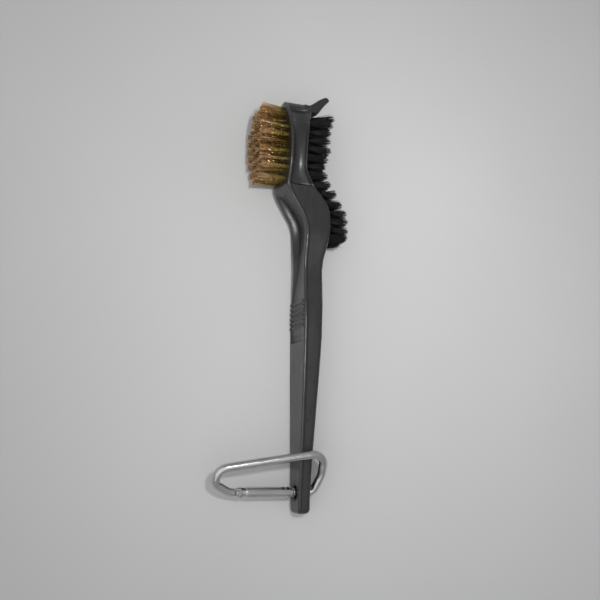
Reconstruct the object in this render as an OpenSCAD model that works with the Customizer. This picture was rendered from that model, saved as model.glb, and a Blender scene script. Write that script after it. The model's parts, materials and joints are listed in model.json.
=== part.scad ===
// Club groove brush: a moulded handle with a bent neck, brass and nylon
// tufts on the two sides of its head, a pick horn and a snap hook.
// The brush's own axes: Y from the handle's end to the head, -X the brass
// side, +X the nylon side, Z across the width. lay() rests it on the floor.

/* [Handle] */
// Distance from the middle of the eye to the head's top edge
head_top_y = 191.5; // [185:0.5:198]
// Width of the handle's end at the eye
end_w = 11.6; // [11:0.2:13]
// Width of the handle at the thumb pad
grip_w = 21.2; // [19:0.2:24]
// Width of the narrow waist above the thumb pad
waist_w = 17.0; // [15:0.2:19]
// Width of the neck at its bend
bend_w = 22.8; // [20:0.2:24]
// Thickness of the handle at its end
end_t = 6.3; // [5.6:0.1:7]
// Thickness of the handle at the thumb pad
grip_t = 9.6; // [8.5:0.1:10.5]
// How far the bulge of the bend stands behind the flat front
bend_back = 12.9; // [11.5:0.1:13.5]
// Thickness of the wider rim along the front edge
rim_t = 1.5; // [1:0.1:2.5]
// How far the rim stands out past the sides
rim_step = 0.45; // [0.2:0.05:0.8]

/* [Neck scoop and thumb pad] */
// Depth of the scoop where the neck meets the head
scoop_deep = 4.2; // [2:0.1:5]
// Rim left on both sides of the scoop
scoop_rim = 2.2; // [1.6:0.1:3]
// Depth of the thumb pad
pad_deep = 0.8; // [0.4:0.1:1.2]
// Number of grip ribs
rib_count = 6; // [4:1:7]
// Spacing of the grip ribs
rib_pitch = 2.35; // [2:0.05:2.6]
// Rim left on both sides of the thumb pad
pad_rim = 1.3; // [1:0.1:2]

/* [Head] */
// Widest part of the oval head
head_w = 30.0; // [27:0.5:32]
// How far the brass face stands in front of the handle's flat front
brass_face = 9.8; // [9:0.1:11]
// Depth of the hollow along both sides of the head
hollow_deep = 1.6; // [1:0.1:2]
// Half width of the pick horn at its root
horn_half = 3.5; // [2.5:0.1:4.5]

/* [Brass tufts] */
// Spacing of the brass tufts both ways
brass_pitch = 4.05; // [4:0.05:4.2]
// Radius of a brass tuft at its root
brass_r = 1.4; // [1.1:0.05:1.5]
// Radius of a brass tuft at its tip
brass_tip_r = 1.9; // [1.4:0.05:1.95]
// Free length of the brass tufts
brass_len = 14.5; // [12:0.5:17]

/* [Nylon tufts] */
// Spacing of the nylon rows along the head and neck
nylon_pitch = 4.4; // [4.3:0.02:4.42]
// Spacing of the nylon tufts across a row
nylon_across = 4.4; // [4.3:0.05:4.6]
// Radius of a nylon tuft at its root
nylon_r = 1.5; // [1.2:0.05:1.6]
// Radius of a nylon tuft at its tip
nylon_tip_r = 2.05; // [1.6:0.05:2.1]
// Depth of the blind holes that hold the tufts
tuft_hole = 3.5; // [3:0.1:3.8]

/* [Snap hook] */
// Radius of the hook's wire
wire_r = 2.0; // [1.8:0.05:2.1]
// Radius of the round gate bar
gate_r = 2.5; // [2.3:0.05:2.6]
// Radius of the eye through the handle's end
eye_r = 3.0; // [2.9:0.1:3.2]
// Angle of the hook's loop above the handle's length
hook_lift = 31.5; // [31:0.5:40]

/* [Hidden] */
$fn = 48;
black = [0.13, 0.13, 0.13];
brass = [0.72, 0.55, 0.22];
nylon = [0.06, 0.06, 0.06];
metal = [0.78, 0.79, 0.80];

// resting attitude on the floor
rest_roll = 3.51;
rest_pitch = 2.35;
rest_lift = 7.72;
rest_x = 8.18;
rest_y = -94.7;

// small working clearances
hole_gap = 0.05;
run_gap = 0.12;
reach = 40;

// smooth curve through a list of [y, value] stations
per_span = 3;
function cr(a, b, c, d, t) = 0.5 * (2 * b + (c - a) * t
    + (2 * a - 5 * b + 4 * c - d) * t * t + (3 * b - a - 3 * c + d) * t * t * t);
function st(p, i) = p[min(max(i, 0), len(p) - 1)];
function smooth(p) = [for (i = [0 : len(p) - 2]) for (j = [0 : per_span - 1])
    cr(st(p, i - 1), st(p, i), st(p, i + 1), st(p, i + 2), j / per_span), st(p, len(p) - 1)];
function at(p, y) = lookup(y, p);

// half widths from the end of the handle to the top of the head
grip_h = grip_w / 2;
waist_h = waist_w / 2;
bend_h = bend_w / 2;
head_h = head_w / 2;
end_y = -7.5;
neck_top = 147;
half_stations = [[end_y, 3.4], [-6.6, 4.6], [-4.6, 5.5], [0, end_w / 2], [12, 7.0], [34, 8.3],
    [54, 9.8], [68, grip_h - 0.2], [80, grip_h], [88, grip_h - 0.3], [95, waist_h + 0.8],
    [104, waist_h], [111, waist_h + 0.4], [118, bend_h - 0.8], [125, bend_h],
    [134, bend_h - 0.6], [143, bend_h - 1.1], [neck_top, bend_h - 1.0], [151, 12.2],
    [156, head_h - 1.0], [161, head_h - 0.2], [166, head_h], [171, head_h - 0.4],
    [176, head_h - 2.0], [180.5, head_h - 4.6], [184.5, head_h - 7.4],
    [188, head_h - 10.2], [190.6, head_h - 12.8], [head_top_y, head_h - 14.6]];
half = smooth(half_stations);

// front and back of the side view as [y, x]
front_stations = [[end_y, 0.9], [-6.7, 0.25], [-5, 0], [40, 0], [90, 0], [118, 0], [125, -0.2],
    [129, -0.8], [132, -1.9], [135, -3.7], [139, -6.0], [143, -8.3],
    [146, -9.6], [149, -brass_face], [160, -brass_face], [175, -brass_face],
    [186, -brass_face], [190.4, -brass_face + 0.4], [head_top_y, -brass_face + 1.4]];
back_stations = [[end_y, end_t - 1.0], [-6.5, end_t - 0.3], [-4, end_t], [8, end_t + 0.1],
    [20, 6.8], [36, 7.6], [54, 8.4], [72, grip_t - 0.3], [85, grip_t], [97, 10.0],
    [106, 10.0], [112, 10.5], [118, 11.7], [124, bend_back - 0.3], [130, bend_back],
    [134.5, bend_back - 0.2], [138, 11.7], [142, 9.0], [146.5, 5.2], [150, 2.2],
    [152.8, 0.0], [156, -0.8], [161, -1.0], [167, -0.8], [173, 0.0], [178, 1.0],
    [182.5, 2.5], [186.5, 4.4], [189, 5.0], [head_top_y, 4.4]];
front = smooth(front_stations);
back = smooth(back_stations);

function flip(p) = [for (i = [len(p) - 1 : -1 : 0]) p[i]];
function xy(p, dx) = [for (s = p) [s[1] + dx, s[0]]];

// tuft places
brass_y0 = 150.4;
nylon_y0 = 183.9;
brass_edge = 1.3;
nylon_edge = 1.0;
brass_z = [-2.5, -1.5, -0.5, 0.5, 1.5, 2.5];
nylon_z = [-1.5, -0.5, 0.5, 1.5];
brass_trim = [1.6, 1.4, 0.4, 0, 0, 0, 0, 0.2, 1.0, 3.2];
nylon_tips = [[122, 23.1], [127, 23.3], [131, 23.2], [135.5, 22.8], [139.9, 20.2], [144.3, 17.0],
    [148.7, 14.3], [153.1, 12.4], [157.5, 11.4], [161.9, 12.7], [166.3, 14.3], [170.7, 13.8],
    [175.1, 14.0], [179.5, 15.0], [183.9, 17.6]];

// the hook's own plane: p along the gate, q toward the spine
hook_eye = [end_t / 2, 2.1, 0];
nose_p = -3.9;
gate_end_p = -4.3;
pivot_p = -29.2;
neck_end_p = -26.5;
neck_r = gate_r - 0.35;
arm_end_p = -32.0;
path = [[nose_p, 0], [5.48, 0], [8.2, 9.4], [7.14, 21.4], [-41.4, 12.25], [-41.65, 4.4],
    [-34.4, 0], [arm_end_p, 0]];
path_bends = [0, 3.4, 12.3, 5.85, 5.85, 4.1, 8.0, 0];
tongue_t = 1.7;
slot_w = 2.0;
rivet_r = 0.8;
pin_r = 0.6;
pin_p = -6.1;

module lay() {
    translate([rest_x, rest_y, rest_lift])
        rotate([rest_pitch, 0, 0]) rotate([0, rest_roll, 0]) children();
}

module hook_frame() {
    translate(hook_eye) rotate([hook_lift, 0, 0]) children();
}

// plate of the front view, inset by 'less' on both sides
module wide_plate(less, x0, x1) {
    right = [for (s = half) [max(s[1] - less, 0.2), s[0]]];
    left = [for (s = flip(half)) [-max(s[1] - less, 0.2), s[0]]];
    translate([x1, 0, 0]) rotate([0, -90, 0])
        linear_extrude(x1 - x0) polygon(concat(right, left));
}

// slab of the side view
module side_slab() {
    linear_extrude(reach, center = true) polygon(concat(xy(front, 0), xy(flip(back), 0)));
}

// band that follows the front surface, from 'a' to 'b' deep
module front_band(a, b) {
    linear_extrude(reach, center = true) polygon(concat(xy(front, a), xy(flip(front), b)));
}

// scoop down the front of the neck, fading out below the waist
module neck_scoop() {
    low = 93;
    span = neck_top - low;
    floor_line = [for (s = front) if (s[0] > low && s[0] < neck_top)
        [s[1] + scoop_deep * sqrt((s[0] - low) / span), s[0]]];
    over_line = [for (s = flip(front)) if (s[0] > low && s[0] < neck_top) [s[1] - 3, s[0]]];
    intersection() {
        linear_extrude(reach, center = true) polygon(concat(floor_line, over_line));
        wide_plate(scoop_rim, -20, 20);
    }
}

// shallow pad with raised ribs across it, deepest at its lower end
module thumb_pad() {
    pad_y0 = 72;
    pad_y1 = 93.5;
    rib_y0 = 79;
    rib_top = 0.1;
    ribs = [for (i = [0 : rib_count - 1]) for (k = [[-0.75, pad_deep], [-0.35, rib_top],
        [0.35, rib_top], [0.75, pad_deep]]) [k[1], rib_y0 + i * rib_pitch + k[0]]];
    outline = concat([[-1, pad_y0], [pad_deep + 0.5, pad_y0], [pad_deep + 0.5, pad_y0 + 3],
        [pad_deep, pad_y0 + 4.5]], ribs, [[pad_deep, pad_y1], [-1, pad_y1]]);
    intersection() {
        linear_extrude(reach, center = true) polygon(outline);
        wide_plate(pad_rim, -2, 3);
    }
}

// hollow along one side wall of the head, bent round the oval
module side_hollow(s) {
    swing_r = 38;
    tube_r = 3.4;
    lip_angle = 25;
    major = swing_r + tube_r - hollow_deep;
    translate([-5, 166.3, s * (head_h - swing_r)])
        rotate([0, 90, 0]) rotate([0, 0, (s > 0 ? 180 : 0) - lip_angle])
            rotate_extrude(angle = 2 * lip_angle) translate([major, 0]) circle(r = tube_r);
}

// thin claw at the top of the head, curving back past the nylon
module horn() {
    claw = [[1.0, 191.2], [3.4, 190.8], [5.4, 192.2], [7.2, 193.8], [9.6, 195.6], [11.8, 196.8],
        [13.2, 197.1], [14.3, 196.7], [14.8, 195.9], [14.7, 195.1], [13.3, 194.1], [11.6, 192.6],
        [9.9, 190.6], [8.6, 188.6], [7.2, 187.0], [4.6, 186.4], [1.0, 186.4]];
    taper = [[0, horn_half + 0.6], [5, horn_half], [10, horn_half - 0.8], [14.6, horn_half - 2.1]];
    right = [for (s = taper) [s[0], s[1]]];
    left = [for (s = flip(taper)) [s[0], -s[1]]];
    intersection() {
        linear_extrude(2 * horn_half + 4, center = true) polygon(claw);
        translate([0, 200, 0]) rotate([90, 0, 0]) linear_extrude(20) polygon(concat(right, left));
    }
}

function brass_count(y) = [for (k = brass_z)
    if (abs(k) * brass_pitch + brass_r + brass_edge < at(half, y)) k * brass_pitch];
function nylon_count(y) = [for (k = nylon_z)
    if (abs(k) * nylon_across + nylon_r + nylon_edge < at(half, y)) k * nylon_across];
function brass_y(i) = brass_y0 + brass_pitch * i;
function nylon_y(i) = nylon_y0 - nylon_pitch * i;

// one tuft along -X or +X, from its hole's bottom to its tip
module tuft(x_in, x_root, x_tip, r, tip_r) {
    way = x_tip > x_in ? 90 : -90;
    root_h = abs(x_root - x_in);
    tip_h = abs(x_tip - x_in);
    translate([x_in, 0, 0]) rotate([0, way, 0]) rotate_extrude($fn = 24)
        polygon([[0, 0], [r, 0], [r, root_h], [tip_r, tip_h], [0, tip_h]]);
}

module brass_row(i) {
    y = brass_y(i);
    root = -brass_face;
    for (z = brass_count(y)) translate([0, y, z])
        tuft(root + tuft_hole, root, root - brass_len + brass_trim[i], brass_r, brass_tip_r);
}

module nylon_row(i) {
    y = nylon_y(i);
    root = at(back, y);
    clear_root = max(at(back, y - nylon_r), at(back, y + nylon_r), root);
    for (z = nylon_count(y)) translate([0, y, z])
        tuft(root - tuft_hole, clear_root, at(nylon_tips, y), nylon_r, nylon_tip_r);
}

module tuft_holes() {
    for (i = [0 : 9]) for (z = brass_count(brass_y(i)))
        translate([-brass_face - 1, brass_y(i), z]) rotate([0, 90, 0])
            cylinder(h = 1 + tuft_hole, r = brass_r + hole_gap, $fn = 24);
    for (i = [0 : 14]) for (z = nylon_count(nylon_y(i)))
        translate([at(back, nylon_y(i)) - tuft_hole, nylon_y(i), z]) rotate([0, 90, 0])
            cylinder(h = 12, r = nylon_r + hole_gap, $fn = 24);
}

module eye() {
    sink = 0.5;
    translate([-1, hook_eye[1], 0]) rotate([0, 90, 0]) cylinder(h = end_t + 3, r = eye_r);
    translate([-0.01, hook_eye[1], 0]) rotate([0, 90, 0])
        cylinder(h = sink, r1 = eye_r + sink, r2 = eye_r);
    translate([end_t + 0.15 - sink, hook_eye[1], 0]) rotate([0, 90, 0])
        cylinder(h = sink, r1 = eye_r, r2 = eye_r + sink);
}

module handle() {
    color(black) lay() difference() {
        union() {
            intersection() {
                side_slab();
                wide_plate(rim_step, -20, 20);
            }
            intersection() {
                front_band(0, rim_t);
                wide_plate(0, -20, 20);
            }
            horn();
        }
        neck_scoop();
        thumb_pad();
        side_hollow(1);
        side_hollow(-1);
        tuft_holes();
        eye();
    }
}

function unit(v) = v / norm(v);
function turn(a, b) = acos(unit(a) * unit(b));

// wire along a path of corners, every bend to the left; each bend is a hair
// thinner than the straight lengths and runs a little way into them
module wire() {
    last = len(path) - 1;
    bend_wire_r = wire_r - 0.04;
    lap = 0.2;
    cut = [for (i = [0 : last]) i == 0 || i == last ? 0
        : path_bends[i] * tan(turn(path[i] - path[i - 1], path[i + 1] - path[i]) / 2)];
    for (i = [0 : last - 1]) {
        d = unit(path[i + 1] - path[i]);
        a = path[i] + d * cut[i];
        b = path[i + 1] - d * cut[i + 1];
        translate([a[0], a[1], 0]) rotate([0, 0, atan2(d[1], d[0])]) rotate([0, 90, 0])
            cylinder(h = norm(b - a), r = wire_r);
    }
    for (i = [1 : last - 1]) {
        bend_r = path_bends[i];
        d = unit(path[i] - path[i - 1]);
        e = unit(path[i + 1] - path[i]);
        centre = path[i] - d * cut[i] + [-d[1], d[0]] * bend_r;
        extra = lap / bend_r * 180 / PI;
        translate([centre[0], centre[1], 0]) rotate([0, 0, atan2(-d[0], d[1]) - extra])
            rotate_extrude(angle = turn(d, e) + 2 * extra)
                translate([bend_r, 0]) circle(r = bend_wire_r);
    }
}

// outline of a flat tongue: square at 'a', round about 'b'
function tongue(a, b, h, n) = concat([[a, h], [a, -h]],
    [for (k = [0 : n]) [b, 0] + h * [(b > a ? 1 : -1) * sin(180 * k / n), -cos(180 * k / n)]]);

module hook_body() {
    color(metal) lay() hook_frame() {
        wire();
        // flat tongue that the gate's fork straddles
        difference() {
            translate([0, 0, -tongue_t / 2]) linear_extrude(tongue_t)
                polygon(tongue(arm_end_p - 0.5, pivot_p, 1.6, 12));
            translate([pivot_p, 0, 0]) cylinder(h = 4, r = rivet_r, center = true);
        }
        // flat nose with the notch that the cross pin drops into
        difference() {
            translate([0, -0.1, -tongue_t / 2]) linear_extrude(tongue_t)
                polygon(tongue(nose_p + 0.5, pin_p - 0.6, 1.5, 12));
            translate([pin_p, 0, 0]) cylinder(h = 4, r = pin_r + run_gap, center = true);
            translate([pin_p - pin_r - run_gap, 0, -2]) cube([2 * (pin_r + run_gap), 4, 4]);
        }
    }
}

module hook_gate() {
    fork_r = 2.3;
    nose_slot = 5.2;
    color(metal) lay() hook_frame() difference() {
        union() {
            translate([neck_end_p, 0, 0]) rotate([0, 90, 0])
                cylinder(h = gate_end_p - neck_end_p, r = gate_r);
            translate([pivot_p, 0, 0]) rotate([0, 90, 0])
                cylinder(h = neck_end_p - pivot_p + 0.1, r = neck_r);
            intersection() {
                translate([pivot_p - fork_r, 0, 0]) rotate([0, 90, 0])
                    cylinder(h = fork_r + 1, r = neck_r);
                translate([pivot_p, 0, 0]) cylinder(h = 6, r = fork_r, center = true);
            }
        }
        // fork slot at the pivot
        translate([pivot_p - 4, -4, -slot_w / 2]) cube([6.4, 8, slot_w]);
        translate([pivot_p, 0, 0]) cylinder(h = 8, r = rivet_r + hole_gap, center = true);
        // slot over the nose
        translate([gate_end_p - nose_slot, -4, -slot_w / 2]) cube([nose_slot + 1, 8, slot_w]);
        translate([pin_p, 0, 0]) cylinder(h = 8, r = pin_r, center = true);
    }
}

module gate_rivet() {
    head_r = 1.35;
    head_t = 0.45;
    color(metal) lay() hook_frame() translate([pivot_p, 0, 0]) {
        cylinder(h = 2 * neck_r + 0.2, r = rivet_r, center = true);
        for (s = [0, 1]) mirror([0, 0, s]) translate([0, 0, neck_r + 0.1])
            cylinder(h = head_t, r1 = head_r, r2 = head_r - 0.35);
    }
}

module catch_pin() {
    color(metal) lay() hook_frame() translate([pin_p, 0, 0])
        cylinder(h = 2 * gate_r - 0.3, r = pin_r, center = true);
}

module brass_tufts(i) {
    color(brass) lay() brass_row(i);
}

module nylon_tufts(i) {
    color(nylon) lay() nylon_row(i);
}

handle();
brass_tufts(0);  // brass_row_1
brass_tufts(1);  // brass_row_2
brass_tufts(2);  // brass_row_3
brass_tufts(3);  // brass_row_4
brass_tufts(4);  // brass_row_5
brass_tufts(5);  // brass_row_6
brass_tufts(6);  // brass_row_7
brass_tufts(7);  // brass_row_8
brass_tufts(8);  // brass_row_9
brass_tufts(9);  // brass_row_10
nylon_tufts(0);  // nylon_row_1
nylon_tufts(1);  // nylon_row_2
nylon_tufts(2);  // nylon_row_3
nylon_tufts(3);  // nylon_row_4
nylon_tufts(4);  // nylon_row_5
nylon_tufts(5);  // nylon_row_6
nylon_tufts(6);  // nylon_row_7
nylon_tufts(7);  // nylon_row_8
nylon_tufts(8);  // nylon_row_9
nylon_tufts(9);  // nylon_row_10
nylon_tufts(10);  // nylon_row_11
nylon_tufts(11);  // nylon_row_12
nylon_tufts(12);  // nylon_row_13
nylon_tufts(13);  // nylon_row_14
nylon_tufts(14);  // nylon_row_15
hook_body();
hook_gate();
gate_rivet();
catch_pin();
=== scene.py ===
import json
import math

import bmesh
import bpy
import numpy as np
from mathutils import Matrix, Vector


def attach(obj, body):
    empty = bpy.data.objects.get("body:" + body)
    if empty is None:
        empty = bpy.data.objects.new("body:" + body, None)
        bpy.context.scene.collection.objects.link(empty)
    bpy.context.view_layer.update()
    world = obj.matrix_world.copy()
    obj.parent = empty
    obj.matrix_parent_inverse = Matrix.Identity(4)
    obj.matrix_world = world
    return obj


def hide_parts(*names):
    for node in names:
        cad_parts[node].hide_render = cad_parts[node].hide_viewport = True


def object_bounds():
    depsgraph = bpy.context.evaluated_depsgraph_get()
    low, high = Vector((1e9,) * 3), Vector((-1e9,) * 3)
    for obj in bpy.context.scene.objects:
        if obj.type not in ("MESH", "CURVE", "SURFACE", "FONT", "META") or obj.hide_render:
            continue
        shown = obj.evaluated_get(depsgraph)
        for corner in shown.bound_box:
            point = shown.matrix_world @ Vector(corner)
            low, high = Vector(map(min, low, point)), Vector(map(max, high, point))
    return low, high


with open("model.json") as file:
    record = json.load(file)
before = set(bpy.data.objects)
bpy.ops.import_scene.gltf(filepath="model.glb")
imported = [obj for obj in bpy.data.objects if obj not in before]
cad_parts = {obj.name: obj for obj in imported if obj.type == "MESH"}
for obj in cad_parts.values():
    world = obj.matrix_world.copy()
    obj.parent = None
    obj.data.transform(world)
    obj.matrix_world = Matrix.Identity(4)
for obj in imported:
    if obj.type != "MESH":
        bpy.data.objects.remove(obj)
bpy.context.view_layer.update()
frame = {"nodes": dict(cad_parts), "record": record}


rng = np.random.default_rng(7)
scene = bpy.context.scene
record = frame["record"]

# ---------------------------------------------------------------- placement
# The brush's own axes, in mm: y from the eye to the head, -x the brass side,
# z across the width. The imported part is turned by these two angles, and its
# hook's hinge gives the place of the eye.
MM_PER_M = 1000
REST_ROLL, REST_PITCH = math.radians(3.51), math.radians(2.35)
TURN = Matrix.Rotation(REST_PITCH, 3, "X") @ Matrix.Rotation(REST_ROLL, 3, "Y")
EYE = Vector((3.15, 2.1, 0.0))
hinge = next(j for j in record["behaviour"]["joints"] if j["name"] == "hook_swing")
ORIGIN = Vector(hinge["pos_m"]) - TURN @ (EYE / MM_PER_M)
TURN_N = np.array([list(r) for r in TURN])
ORIGIN_N = np.array(ORIGIN)


def to_row(points):
    """Points of the brush's own axes in mm, as the row frame's metres."""
    return np.asarray(points, float) @ TURN_N.T / MM_PER_M + ORIGIN_N


def link(name, data):
    ob = bpy.data.objects.new(name, data)
    scene.collection.objects.link(ob)
    return ob


def shade_smooth(me):
    me.polygons.foreach_set("use_smooth", [True] * len(me.polygons))


def mesh_object(name, verts, faces):
    me = bpy.data.meshes.new(name)
    me.from_pydata(verts.tolist(), [], faces)
    me.update()
    shade_smooth(me)
    return link(name, me)


# ---------------------------------------------------------------- materials
def new_material(name):
    m = bpy.data.materials.new(name)
    m.use_nodes = True
    nt = m.node_tree
    return m, nt, nt.nodes["Principled BSDF"]


def add(nt, kind, **props):
    n = nt.nodes.new(kind)
    for k, v in props.items():
        if k in n.inputs:
            n.inputs[k].default_value = v
        else:
            setattr(n, k, v)
    return n


def noise(nt, coord, scale, detail=3.0, rough=0.55, stretch=(1, 1, 1)):
    mp = add(nt, "ShaderNodeMapping")
    mp.inputs["Scale"].default_value = stretch
    nt.links.new(coord, mp.inputs["Vector"])
    n = add(nt, "ShaderNodeTexNoise", Scale=scale, Detail=detail, Roughness=rough)
    nt.links.new(mp.outputs["Vector"], n.inputs["Vector"])
    return n.outputs["Fac"]


def ramp(nt, fac, stops):
    r = add(nt, "ShaderNodeValToRGB")
    cr = r.color_ramp
    while len(cr.elements) < len(stops):
        cr.elements.new(0.5)
    for e, (p, c) in zip(cr.elements, stops):
        e.position = p
        e.color = (*c, 1.0)
    nt.links.new(fac, r.inputs["Fac"])
    return r.outputs["Color"]


NOISE_LOW, NOISE_HIGH = 0.3, 0.7  # most of a noise texture's values lie between these


def spread(nt, fac, lo, hi):
    """Map a noise texture's usual range onto lo to hi."""
    n = add(nt, "ShaderNodeMapRange")
    n.inputs["From Min"].default_value = NOISE_LOW
    n.inputs["From Max"].default_value = NOISE_HIGH
    n.inputs["To Min"].default_value = lo
    n.inputs["To Max"].default_value = hi
    nt.links.new(fac, n.inputs["Value"])
    return n.outputs["Result"]


def multiply(nt, a, b):
    n = add(nt, "ShaderNodeMix", data_type="RGBA", blend_type="MULTIPLY")
    n.inputs["Factor"].default_value = 1.0
    for key, colour in (("A", a), ("B", b)):
        socket = [s for s in n.inputs if s.name == key and s.type == "RGBA"][0]
        nt.links.new(colour, socket)
    return [s for s in n.outputs if s.type == "RGBA"][0]


def bump(nt, bsdf, heights):
    """Chain bumps given as (height, strength, distance in metres)."""
    last = None
    for fac, strength, distance in heights:
        b = add(nt, "ShaderNodeBump", Strength=strength, Distance=distance)
        nt.links.new(fac, b.inputs["Height"])
        if last:
            nt.links.new(last, b.inputs["Normal"])
        last = b.outputs["Normal"]
    nt.links.new(last, bsdf.inputs["Normal"])


def object_coord(nt):
    return add(nt, "ShaderNodeTexCoord").outputs["Object"]


def attribute(nt, name):
    return add(nt, "ShaderNodeAttribute", attribute_name=name).outputs["Fac"]


def plastic():
    m, nt, bsdf = new_material("black_moulded_plastic")
    co = object_coord(nt)
    grain = noise(nt, co, 2600, 4, 0.6)
    cloud = noise(nt, co, 60, 3, 0.5)
    flow = noise(nt, co, 420, 3, 0.6, (1.0, 0.18, 1.0))
    base = ramp(nt, cloud, [(0.30, (0.013, 0.014, 0.014)), (0.72, (0.023, 0.023, 0.022))])
    specks = ramp(nt, grain, [(0.35, (0.85, 0.85, 0.85)), (0.66, (1.15, 1.15, 1.15))])
    nt.links.new(multiply(nt, base, specks), bsdf.inputs["Base Color"])
    nt.links.new(spread(nt, flow, 0.25, 0.37), bsdf.inputs["Roughness"])
    bsdf.inputs["Specular IOR Level"].default_value = 0.68
    bump(nt, bsdf, [(flow, 0.10, 0.00006), (grain, 0.22, 0.00003)])
    return m


def brass():
    m, nt, bsdf = new_material("brass_wire")
    co = object_coord(nt)
    tone, along = attribute(nt, "tone"), attribute(nt, "along")
    wire = ramp(nt, tone, [(0.0, (0.20, 0.11, 0.05)), (0.35, (0.62, 0.42, 0.17)),
                           (0.7, (0.94, 0.72, 0.38)), (1.0, (1.0, 0.84, 0.70))])
    # painted shade: each wire is painted darker and olive toward its root, where the packed tufts shade
    # one another; toward the tip it keeps its own colour
    root = ramp(nt, along, [(0.0, (0.30, 0.31, 0.13)), (0.40, (0.60, 0.60, 0.32)),
                            (0.75, (1.0, 0.92, 0.84)), (1.0, (1.0, 0.94, 0.90))])
    stain = ramp(nt, noise(nt, co, 700, 3, 0.6), [(0.32, (0.62, 0.52, 0.44)), (0.6, (1, 1, 1))])
    col = multiply(nt, multiply(nt, wire, root), stain)
    nt.links.new(col, bsdf.inputs["Base Color"])
    bsdf.inputs["Metallic"].default_value = 1.0
    nt.links.new(spread(nt, noise(nt, co, 1500), 0.12, 0.30), bsdf.inputs["Roughness"])
    bump(nt, bsdf, [(noise(nt, co, 5000), 0.15, 0.00002)])
    return m


def nylon():
    m, nt, bsdf = new_material("black_nylon_filament")
    co = object_coord(nt)
    tone = attribute(nt, "tone")
    fibre = ramp(nt, tone, [(0.0, (0.002, 0.0025, 0.0025)), (1.0, (0.007, 0.0075, 0.0075))])
    dust = ramp(nt, noise(nt, co, 900, 4), [(0.5, (1, 1, 1)), (0.8, (1.7, 1.7, 1.75))])
    nt.links.new(multiply(nt, fibre, dust), bsdf.inputs["Base Color"])
    nt.links.new(spread(nt, noise(nt, co, 1800), 0.40, 0.60), bsdf.inputs["Roughness"])
    bsdf.inputs["Specular IOR Level"].default_value = 0.28
    return m


DULLED = 0.86  # the metal's duller patches, as a share of its colour
ROUGH_RANGE = 0.14


def aluminium(name, base, rough):
    m, nt, bsdf = new_material(name)
    co = object_coord(nt)
    brushed = noise(nt, co, 3200, 4, 0.65, (0.12, 1.0, 1.0))
    cloud = noise(nt, co, 160, 4, 0.6)
    pits = noise(nt, co, 2400, 2, 0.5)
    dull = tuple(c * DULLED for c in base)
    col = ramp(nt, cloud, [(0.35, dull), (0.7, base)])
    nt.links.new(col, bsdf.inputs["Base Color"])
    bsdf.inputs["Metallic"].default_value = 1.0
    nt.links.new(spread(nt, brushed, rough, rough + ROUGH_RANGE), bsdf.inputs["Roughness"])
    bump(nt, bsdf, [(brushed, 0.05, 0.00002), (pits, 0.05, 0.00003)])
    return m


def tabletop():
    m, nt, bsdf = new_material("pale_tabletop")
    co = object_coord(nt)
    cloud = noise(nt, co, 5, 3, 0.5)
    fine = noise(nt, co, 900, 3, 0.6)
    base = ramp(nt, cloud, [(0.3, (0.600, 0.605, 0.600)), (0.7, (0.640, 0.645, 0.640))])
    nt.links.new(base, bsdf.inputs["Base Color"])
    nt.links.new(spread(nt, fine, 0.52, 0.60), bsdf.inputs["Roughness"])
    bsdf.inputs["Specular IOR Level"].default_value = 0.22
    bump(nt, bsdf, [(fine, 0.04, 0.00004)])
    return m


PLASTIC, BRASS, NYLON = plastic(), brass(), nylon()
METAL = aluminium("polished_aluminium", (0.62, 0.615, 0.63), 0.13)
STEEL = aluminium("rivet_metal", (0.58, 0.58, 0.58), 0.14)


# ---------------------------------------------------------------- handle
def curve_through(stations, per=12):
    """Smooth curve through (y, value) stations, as two arrays."""
    p = np.array(stations, float)
    out = []
    for i in range(len(p) - 1):
        a, b, c, d = p[max(i - 1, 0)], p[i], p[i + 1], p[min(i + 2, len(p) - 1)]
        for t in np.arange(per) / per:
            out.append(0.5 * (2 * b + (c - a) * t + (2 * a - 5 * b + 4 * c - d) * t ** 2
                              + (3 * b - a - 3 * c + d) * t ** 3))
    out.append(p[-1])
    out = np.array(out)
    order = np.argsort(out[:, 0])
    return out[order, 0], out[order, 1]


HALF = curve_through([
    (-7.5, 3.0), (-6.9, 4.3), (-5.0, 5.45), (0, 5.8), (12, 7.0), (34, 8.3), (54, 9.8), (68, 10.4),
    (80, 10.6), (88, 10.3), (95, 9.3), (104, 8.5), (111, 8.9), (118, 10.6), (125, 11.4),
    (134, 10.8), (143, 10.3), (147, 10.4), (151, 12.2), (156, 14.0), (161, 14.8), (166, 15.0),
    (171, 14.6), (176, 13.0), (180.5, 10.4), (184.5, 7.6), (188, 4.8), (190.6, 2.2), (191.5, 0.5)])
FRONT = curve_through([
    (-7.5, 1.3), (-6.9, 0.5), (-5.2, 0), (40, 0), (90, 0), (118, 0), (125, -0.2), (129, -0.8),
    (132, -1.9), (135, -3.7), (139, -6.0), (143, -8.3), (146, -9.5), (149, -9.8), (160, -9.8),
    (175, -9.8), (188, -9.8), (190.6, -9.5), (191.5, -8.6)])
BACK = curve_through([
    (-7.5, 4.9), (-6.9, 5.9), (-4.6, 6.3), (8, 6.4), (20, 6.8), (36, 7.6), (54, 8.4), (72, 9.3),
    (85, 9.6), (97, 9.95), (106, 10.0), (112, 10.5), (118, 11.7), (124, 12.6), (130, 12.9),
    (134.5, 12.7), (138, 11.7), (142, 9.0), (146.5, 5.2), (150, 2.2), (152.8, 0.0), (156, -0.8),
    (161, -1.0), (167, -0.8), (173, 0.0), (178, 1.0), (182.5, 2.5), (186.5, 4.2), (189.6, 4.8),
    (191.5, 4.0)])
SCOOP = curve_through([
    (60, 0), (70.6, 0), (72.4, 1.1), (74.6, 1.15), (77, 0.8), (95, 0.85), (104, 1.3), (112, 2.0),
    (120, 2.9), (128, 3.7), (134, 3.9), (139, 3.4), (143, 2.0), (146.2, 0), (160, 0)])
EDGE = curve_through([(60, 1.5), (90, 1.5), (100, 2.0), (120, 2.6), (135, 2.4), (147, 2.2)])


def on(curve, y):
    return np.interp(y, *curve)


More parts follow.
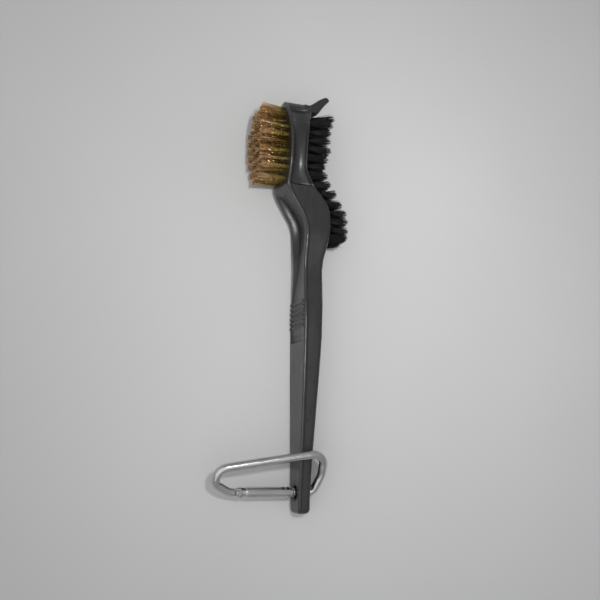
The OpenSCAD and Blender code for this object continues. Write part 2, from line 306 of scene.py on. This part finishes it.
def smoothstep(a, b, x):
    t = np.clip((x - a) / (b - a), 0, 1)
    return t * t * (3 - 2 * t)


RIM_T, RIM_STEP = 1.5, 0.45  # the front plate's thickness, and how far it stands out sideways
RIB_YS = [79.0 + 2.35 * i for i in range(6)]
RIB_RISE = 0.85  # of the thumb ribs over the scoop's floor
FRONT_R, BACK_R, HEAD_R_LESS = 0.6, 2.1, 0.9  # edge radii, and how much less the head's back has
POCKET_DEPTH = 2.0  # of the hollow in each side of the head
POCKET_LOW, POCKET_TOP = (146.2, 147.6), (186.0, 188.2)  # y over which its lips rise and fall


def section(y):
    """Half of the cross-section at y, from the front's middle to the back's: (x, z) points."""
    f, b, h = on(FRONT, y), on(BACK, y), on(HALF, y)
    step = RIM_STEP * smoothstep(-6.5, -2, y) * (1 - smoothstep(186, 190.5, y))
    core = h - step
    r1 = min(FRONT_R, 0.5 * h)
    r2 = min(BACK_R - HEAD_R_LESS * smoothstep(144, 156, y), 0.6 * core, 0.42 * (b - f))
    w = max(h - on(EDGE, y), 0.1)
    z = (h - r1) * np.sin(np.linspace(0, math.pi / 2, 34))
    wall = smoothstep(0, 1.5, w - z)
    depth = on(SCOOP, y) * wall * (0.82 + 0.18 * (1 - (z / w) ** 2).clip(0, 1))
    for rib in RIB_YS:
        up = 1 - smoothstep(0.25, 0.85, abs(y - rib))
        depth = depth - RIB_RISE * up * smoothstep(0, 0.9, h - 0.7 - z)
    pts = [np.stack([f + depth, z], 1)]
    a = np.linspace(0, math.pi / 2, 7)[1:]
    pts.append(np.stack([f + r1 - r1 * np.cos(a), h - r1 + r1 * np.sin(a)], 1))
    edge_x = f + RIM_T
    pts.append(np.array([[edge_x - 0.35, h], [edge_x - 0.05, h - 0.04], [edge_x + 0.05, core + 0.03],
                         [edge_x + 0.3, core]]))
    x0, x1 = edge_x + 0.3, b - r2
    x = np.linspace(x0, x1, 18)[1:]
    mid, reach = (f + 1.7 + b - 0.7) / 2, (b - 0.7 - f - 1.7) / 2
    bowl = np.clip(1 - ((x - mid) / reach) ** 2, 0, 1) ** 0.62
    lips = smoothstep(*POCKET_LOW, y) * (1 - smoothstep(*POCKET_TOP, y))
    pts.append(np.stack([x, core - POCKET_DEPTH * bowl * lips], 1))
    pts.append(np.stack([b - r2 + r2 * np.sin(a), core - r2 + r2 * np.cos(a)], 1))
    zb = (core - r2) * np.linspace(1, 0, 12)[1:]
    pts.append(np.stack([b + 0 * zb, zb], 1))
    return np.concatenate(pts)


def loft():
    """The moulding as rings of sections along y, closer where its shape changes fast."""
    ys = np.concatenate([
        -7.5 + 3.0 * (1 - np.cos(np.linspace(0, math.pi / 2, 14))), np.arange(-4.0, 68, 0.9),
        np.arange(68, 96, 0.28), np.arange(96, 144, 0.6), np.arange(144, 153, 0.3),
        np.arange(153, 182, 0.5), 182 + 9.5 * np.sin(np.linspace(0, math.pi / 2, 44))])
    rings = []
    for y in ys:
        s = section(float(y))
        x = np.concatenate([s[:, 0], s[-2:0:-1, 0]])
        z = np.concatenate([s[:, 1], -s[-2:0:-1, 1]])
        rings.append(np.stack([x, np.full_like(x, y), z], 1))
    n = len(rings[0])
    verts = np.concatenate(rings)
    faces = []
    for i in range(len(rings) - 1):
        for j in range(n):
            k = (j + 1) % n
            faces.append((i * n + j, (i + 1) * n + j, (i + 1) * n + k, i * n + k))
    faces.append(tuple(range(n)))
    faces.append(tuple(reversed(range((len(rings) - 1) * n, len(rings) * n))))
    return verts, faces


def ring_faces(rows, n):
    """Quads between neighbouring rings of n points, and a cap on each end."""
    faces = [(i * n + j, i * n + (j + 1) % n, (i + 1) * n + (j + 1) % n, (i + 1) * n + j)
             for i in range(rows - 1) for j in range(n)]
    return faces + [tuple(reversed(range(n))), tuple(range((rows - 1) * n, rows * n))]


HORN_AT = (0, 0.25, 0.45, 0.65, 0.85, 0.95, 1.0)  # stations from the horn's root to its tip
HORN_SQUARE = 0.45  # power that squares the horn's round section; 1 is an ellipse


def horn_edge(values):
    return curve_through(list(zip(HORN_AT, values)), 6)[1]


def horn_mesh(n=36):
    top = horn_edge([191.0, 190.9, 192.6, 194.8, 196.6, 197.0, 196.4])
    top_x = horn_edge([1.0, 3.6, 6.2, 9.0, 11.9, 13.4, 14.5])
    low = horn_edge([186.5, 186.5, 187.3, 190.2, 193.0, 194.2, 195.3])
    low_x = horn_edge([1.0, 5.2, 8.3, 10.6, 12.7, 13.8, 14.8])
    verts = []
    for i in range(len(top)):
        t, u = np.array([top_x[i], top[i]]), np.array([low_x[i], low[i]])
        mid = (t + u) / 2
        half_z = np.interp(mid[0], [0, 5, 10, 14.4], [4.1, 3.5, 2.7, 1.2])
        for k in range(n):
            a = 2 * math.pi * k / n
            ca, sa = math.cos(a), math.sin(a)
            cx = abs(ca) ** HORN_SQUARE * math.copysign(1, ca)
            sz = abs(sa) ** HORN_SQUARE * math.copysign(1, sa)
            p = mid + (t - mid) * cx
            verts.append((p[0], p[1], half_z * sz))
    return np.array(verts), ring_faces(len(top), n)


def eye_cutter(n=48):
    """A round cutter along x with flared mouths."""
    prof = [(-1.0, 4.2), (0.0, 3.7), (0.25, 3.3), (0.6, 3.08), (1.2, 3.0), (5.2, 3.0), (5.8, 3.08),
            (6.15, 3.3), (6.4, 3.7), (7.4, 4.2)]
    verts = []
    for x, r in prof:
        for k in range(n):
            a = 2 * math.pi * k / n
            verts.append((x, EYE.y + r * math.cos(a), r * math.sin(a)))
    return np.array(verts), ring_faces(len(prof), n)


def outward(ob):
    bm = bmesh.new()
    bm.from_mesh(ob.data)
    bmesh.ops.recalc_face_normals(bm, faces=bm.faces)
    bm.to_mesh(ob.data)
    bm.free()


def settle(ob):
    """Keep the mesh that the modifiers make, and drop them."""
    dg = bpy.context.evaluated_depsgraph_get()
    me = bpy.data.meshes.new_from_object(ob.evaluated_get(dg))
    ob.modifiers.clear()
    ob.data = me


def soften(ob, voxel, rounds):
    """Even a mesh out in voxels of this many metres, then smooth it."""
    even = ob.modifiers.new("even", "REMESH")
    even.mode, even.voxel_size, even.use_smooth_shade = "VOXEL", voxel, True
    soft = ob.modifiers.new("soft", "SMOOTH")
    soft.factor, soft.iterations = 0.5, rounds


def dress(ob, material):
    ob.data.materials.clear()
    ob.data.materials.append(material)


def make_handle():
    v, f = loft()
    body = mesh_object("moulded_handle", to_row(v), f)
    v, f = eye_cutter()
    cutter = mesh_object("eye_cutter", to_row(v), f)
    v, f = horn_mesh()
    horn = mesh_object("horn_blank", to_row(v), f)
    for ob in (body, cutter, horn):
        outward(ob)
    cut = body.modifiers.new("eye", "BOOLEAN")
    cut.operation, cut.object, cut.solver = "DIFFERENCE", cutter, "EXACT"
    settle(body)
    join = body.modifiers.new("horn", "BOOLEAN")
    join.operation, join.object, join.solver = "UNION", horn, "EXACT"
    settle(body)
    for ob in (cutter, horn):
        bpy.data.objects.remove(ob)
    soften(body, 0.00024, 3)
    settle(body)
    shade_smooth(body.data)
    dress(body, PLASTIC)
    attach(body, "brush")
    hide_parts("handle")


make_handle()


# ---------------------------------------------------------------- tufts
def tubes(name, lines, radii, sides, material, attrs):
    """Thin tubes along many polylines (count, points, 3), in the brush's own mm."""
    lines = np.asarray(lines)
    count, n, _ = lines.shape
    tangent = np.gradient(lines, axis=1)
    tangent /= np.linalg.norm(tangent, axis=2, keepdims=True)
    up = np.cross(tangent, np.array([0.0, 0.31, 0.95]))
    up /= np.linalg.norm(up, axis=2, keepdims=True)
    side = np.cross(tangent, up)
    ang = 2 * math.pi * np.arange(sides) / sides
    ring = (np.cos(ang)[None, None, :, None] * up[:, :, None, :]
            + np.sin(ang)[None, None, :, None] * side[:, :, None, :])
    verts = lines[:, :, None, :] + ring * radii[:, :, None, None]
    base = (np.arange(count) * n * sides)[:, None, None]
    i = (np.arange(n - 1) * sides)[None, :, None]
    j = np.arange(sides)[None, None, :]
    k = (j + 1) % sides
    quads = np.stack([base + i + j, base + i + k, base + i + sides + k, base + i + sides + j], -1)
    quads = quads.reshape(-1, 4)
    last = (n - 1) * sides
    caps = base[:, 0, :] + last + np.arange(sides)[None, :]
    me = bpy.data.meshes.new(name)
    pts = to_row(verts.reshape(-1, 3)).astype(np.float32)
    me.vertices.add(len(pts))
    me.vertices.foreach_set("co", pts.ravel())
    loops = np.concatenate([quads.ravel(), caps.ravel()])
    me.loops.add(len(loops))
    me.loops.foreach_set("vertex_index", loops.astype(np.int32))
    starts = np.concatenate([np.arange(len(quads)) * 4, quads.size + np.arange(count) * sides])
    me.polygons.add(len(starts))
    me.polygons.foreach_set("loop_start", starts.astype(np.int32))
    me.update(calc_edges=True)
    me.validate()
    shade_smooth(me)
    for key, values in attrs.items():
        a = me.attributes.new(key, "FLOAT", "POINT")
        a.data.foreach_set("value", np.repeat(values, sides, axis=1).ravel().astype(np.float32))
    me.materials.append(material)
    return link(name, me)


BRASS_FACE, BRASS_LEN, BRASS_PITCH, BRASS_Y0 = -9.8, 14.5, 4.05, 150.4
BRASS_TRIM = [1.6, 1.4, 0.4, 0, 0, 0, 0, 0.2, 1.0, 3.2]  # what each row lacks of that length
BRASS_ROWS = len(BRASS_TRIM)
BRASS_TUFT_R = (0.78, 1.55)  # a tuft's radius at its root and its tip
NYLON_ROWS, NYLON_PITCH, NYLON_Y0 = 15, 4.4, 183.9
NYLON_TUFT_R = (1.6, 2.1)
# the line through the nylon rows' tips: y, then x
NYLON_TIPS = ([122, 127, 131, 135.5, 139.9, 144.3, 148.7, 153.1, 157.5, 161.9, 166.3, 170.7, 175.1,
               179.5, 183.9],
              [23.1, 23.3, 23.2, 22.8, 20.2, 17.0, 14.3, 12.4, 11.4, 12.7, 14.3, 13.8, 14.0, 15.0,
               17.6])
END_FAN = 0.9  # the first and last nylon rows splay toward the horn
STRAND_R = 0.125
HOLE_DEPTH = 1.0  # how far a strand starts inside the moulding
GOLDEN_ANGLE = 2.39996


def disc(count, radius):
    """Even random points in a disc."""
    k = np.arange(count) + 0.5
    r = radius * np.sqrt(k / count)
    a = k * GOLDEN_ANGLE + rng.uniform(0, 6.28)
    return np.stack([r * np.cos(a), r * np.sin(a)], 1) + rng.normal(0, radius * 0.06, (count, 2))


def brass_row(i, wires=26, points=72):
    y = BRASS_Y0 + BRASS_PITCH * i
    half = float(on(HALF, y))
    zs = [k * BRASS_PITCH for k in (-2.5, -1.5, -0.5, 0.5, 1.5, 2.5)
          if abs(k) * BRASS_PITCH + 2.7 < half]
    tip = BRASS_FACE - BRASS_LEN + BRASS_TRIM[i]
    lines, tone, along = [], [], []
    for z in zs:
        lean = rng.normal(0, 0.20, 2)
        start, end = disc(wires, BRASS_TUFT_R[0]), disc(wires, BRASS_TUFT_R[1])
        t = np.linspace(0, 1, points)
        tuft_tone = rng.uniform(-0.12, 0.12)
        for w in range(wires):
            length = 1 - abs(rng.normal(0, 0.025))
            x = BRASS_FACE + HOLE_DEPTH + (tip - BRASS_FACE - HOLE_DEPTH) * t * length
            way = rng.uniform(0, 2 * math.pi)
            phase = rng.uniform(0, 2 * math.pi)
            reach, period = rng.uniform(0.15, 0.21), rng.uniform(1.25, 1.45)
            wave = reach * np.sin(2 * math.pi * abs(x) / period + phase)
            wave = wave * np.clip(t * 6, 0, 1)
            bend = rng.normal(0, 0.16, 2)
            yy = y + start[w, 0] * (1 - t) + end[w, 0] * t + (lean[0] + bend[0]) * t ** 2
            zz = z + start[w, 1] * (1 - t) + end[w, 1] * t + (lean[1] + bend[1]) * t ** 2
            lines.append(np.stack([x, yy + wave * math.cos(way), zz + wave * math.sin(way)], 1))
            tone.append(np.full(points, np.clip(rng.normal(0.5, 0.34) + tuft_tone, 0, 1)))
            # the share of the way from root to tip, which the brass material uses for its painted shade at
            # the roots
            along.append(t)
    lines = np.array(lines)
    ob = tubes("brass_tufts_%d" % (i + 1), lines, np.full(lines.shape[:2], STRAND_R), 5, BRASS,
               {"tone": np.array(tone), "along": np.array(along)})
    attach(ob, "brush")
    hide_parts("brass_row_%d" % (i + 1))


def nylon_row(i, hairs=72, points=9):
    y = NYLON_Y0 - NYLON_PITCH * i
    half = float(on(HALF, y))
    zs = [k * NYLON_PITCH for k in (-1.5, -0.5, 0.5, 1.5)
          if abs(k) * NYLON_PITCH + 2.5 < half]
    root = float(on(BACK, y))
    tip = float(np.interp(y, *NYLON_TIPS))
    lines, tone, radii = [], [], []
    for z in zs:
        lean = rng.normal(0, 0.30, 2) + (END_FAN if i in (0, NYLON_ROWS - 1) else 0.0, 0.0)
        start, end = disc(hairs, NYLON_TUFT_R[0]), disc(hairs, NYLON_TUFT_R[1])
        t = np.linspace(0, 1, points)
        for w in range(hairs):
            out = np.hypot(*end[w]) / NYLON_TUFT_R[1]
            length = 1.0 - 0.14 * out ** 1.6 - abs(rng.normal(0, 0.03))
            stray = rng.random() < 0.05
            bend = rng.normal(0, 0.75 if stray else 0.22, 2)
            x = root - HOLE_DEPTH + (tip - root + HOLE_DEPTH) * length * t
            fan = t ** 0.5
            yy = y + start[w, 0] * (1 - fan) + end[w, 0] * fan + (lean[0] + bend[0]) * t ** 2
            zz = z + start[w, 1] * (1 - t) + end[w, 1] * t + (lean[1] + bend[1]) * t ** 2
            lines.append(np.stack([x, yy, zz], 1))
            tone.append(np.full(points, rng.random()))
            radii.append(STRAND_R * (1 - 0.45 * t ** 4))
    ob = tubes("nylon_tufts_%d" % (i + 1), lines, np.array(radii), 4, NYLON, {"tone": np.array(tone)})
    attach(ob, "brush")
    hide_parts("nylon_row_%d" % (i + 1))


for i in range(BRASS_ROWS):
    brass_row(i)
for i in range(NYLON_ROWS):
    nylon_row(i)


# ---------------------------------------------------------------- snap hook
for node, voxel, rounds, material in (("hook_body", 0.00014, 8, METAL), ("hook_gate", 0.00012, 5, METAL),
                                      ("gate_rivet", 0.00009, 3, STEEL), ("catch_pin", 0.00009, 2, STEEL)):
    soften(frame["nodes"][node], voxel, rounds)
    dress(frame["nodes"][node], material)

# ---------------------------------------------------------------- stage
lo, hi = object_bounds()
mid = (lo + hi) / 2
bpy.ops.mesh.primitive_plane_add(size=4.0, location=(mid.x, mid.y, 0.0))
floor = bpy.context.object
floor.name = "tabletop"
floor.data.materials.append(tabletop())

# camera as in the photograph: above the handle's brass side, looking down;
# its place and its two directions are in the brush's own axes
CAMERA_AT = (-132.329, 22.266, 369.260)
CAMERA_BACK = (-0.334726, -0.175453, 0.925837)
CAMERA_RIGHT = (0.939307, 0.016323, 0.342689)
SENSOR_MM, LENS_MM = 36.0, 49.79253
BACK_WAY = (TURN @ Vector(CAMERA_BACK)).normalized()
RIGHT = TURN @ Vector(CAMERA_RIGHT)
RIGHT = (RIGHT - BACK_WAY * RIGHT.dot(BACK_WAY)).normalized()
UP = BACK_WAY.cross(RIGHT)
cam_data = bpy.data.cameras.new("camera")
cam = link("camera", cam_data)
pose = Matrix((RIGHT, UP, BACK_WAY)).transposed().to_4x4()
pose.translation = Vector(to_row(CAMERA_AT))
cam.matrix_world = pose
cam_data.sensor_width = SENSOR_MM
cam_data.lens = LENS_MM
cam_data.clip_start, cam_data.clip_end = 0.01, 20.0
scene.camera = cam


def area_light(name, place, target, size, power, colour=(1, 1, 1), spread_deg=180):
    data = bpy.data.lights.new(name, "AREA")
    data.energy, data.size, data.color = power, size, colour
    data.spread = math.radians(spread_deg)
    ob = link(name, data)
    ob.location = place
    ob.rotation_mode = "QUATERNION"
    ob.rotation_quaternion = (Vector(target) - Vector(place)).to_track_quat("-Z", "Y")


centre = Vector((mid.x, mid.y, 0.01))
flash = pose.translation + RIGHT * 0.090 + UP * 0.075 + BACK_WAY * 0.01
flash_aim = centre + RIGHT * 0.075 + UP * 0.05
area_light("flash", flash, flash_aim, 0.032, 0.155, spread_deg=75)
area_light("ceiling", centre + Vector((-0.5, -0.7, 1.2)), centre, 1.8, 5.4)
area_light("window", centre + Vector((-1.0, 0.1, 0.7)), centre, 1.3, 1.7, (0.97, 0.99, 1.0))


def soft_room():
    """A grey room that is lighter overhead."""
    world = bpy.data.worlds.new("soft_room")
    world.use_nodes = True
    nt = world.node_tree
    height = add(nt, "ShaderNodeSeparateXYZ")
    nt.links.new(add(nt, "ShaderNodeTexCoord").outputs["Generated"], height.inputs["Vector"])
    grey = ramp(nt, height.outputs["Z"], [(0.0, (0.34, 0.34, 0.34)), (1.0, (0.50, 0.50, 0.50))])
    background = nt.nodes["Background"]
    nt.links.new(grey, background.inputs["Color"])
    background.inputs["Strength"].default_value = 0.82
    return world


scene.world = soft_room()
scene.view_settings.view_transform = "Standard"
